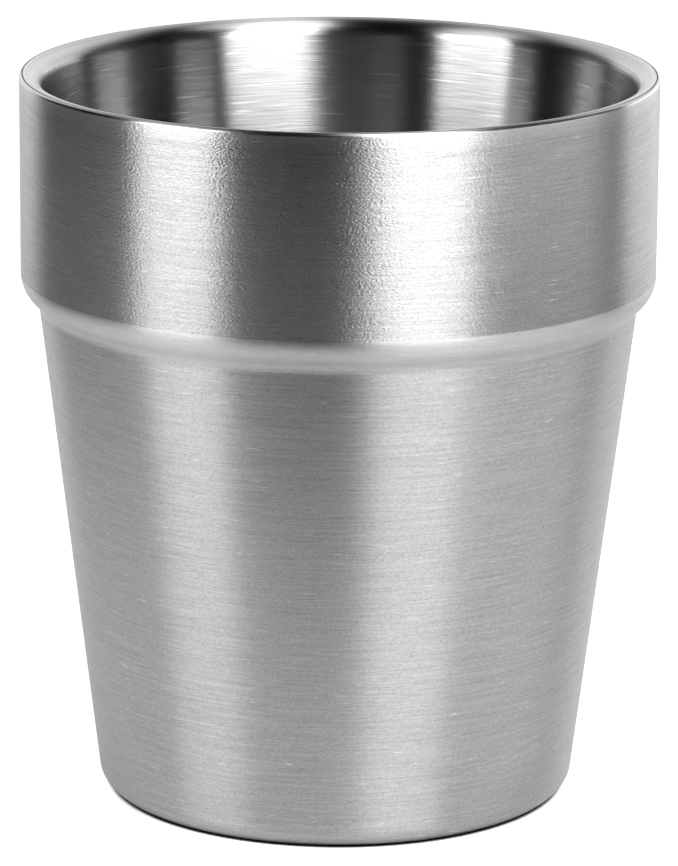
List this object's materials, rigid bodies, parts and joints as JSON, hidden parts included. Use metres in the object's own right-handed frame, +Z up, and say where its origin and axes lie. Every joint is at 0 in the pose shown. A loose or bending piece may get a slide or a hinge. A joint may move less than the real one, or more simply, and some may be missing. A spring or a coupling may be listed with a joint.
{
  "type": "julep cup",
  "caption": "Double-wall julep cup in brushed stainless steel: straight collar, rolled step, tapering body and a thick lip where the liner turns out to meet the shell.",
  "frame": {"origin": "centre of the foot ring, on the surface that the cup stands on", "axes": "+Z up the cup's axis towards the mouth; X and Y are level and alike, because the cup is round"},
  "size_m": [0.089, 0.089, 0.1025],
  "materials": {
    "brushed_shell": "brushed round the cup, satin",
    "brushed_liner": "fine brushed, nearly bright",
    "polished_weld": "ground round and polished",
    "pressed_plate": "pressed sheet, dull mill finish",
    "raw_weld": "as welded",
    "sealing_glass": "melted bead, opaque dark",
    "getter_alloy": "sintered, matt",
    "holder_foil": "stamped foil"
  },
  "bodies": {
    "root": {"outer_shell": "brushed_shell", "inner_liner": "brushed_liner", "rim_weld": "polished_weld", "base_plate": "pressed_plate", "base_weld": "raw_weld", "port_seal": "sealing_glass", "getter": "getter_alloy", "getter_holder": "holder_foil"}
  },
  "joints": []
}
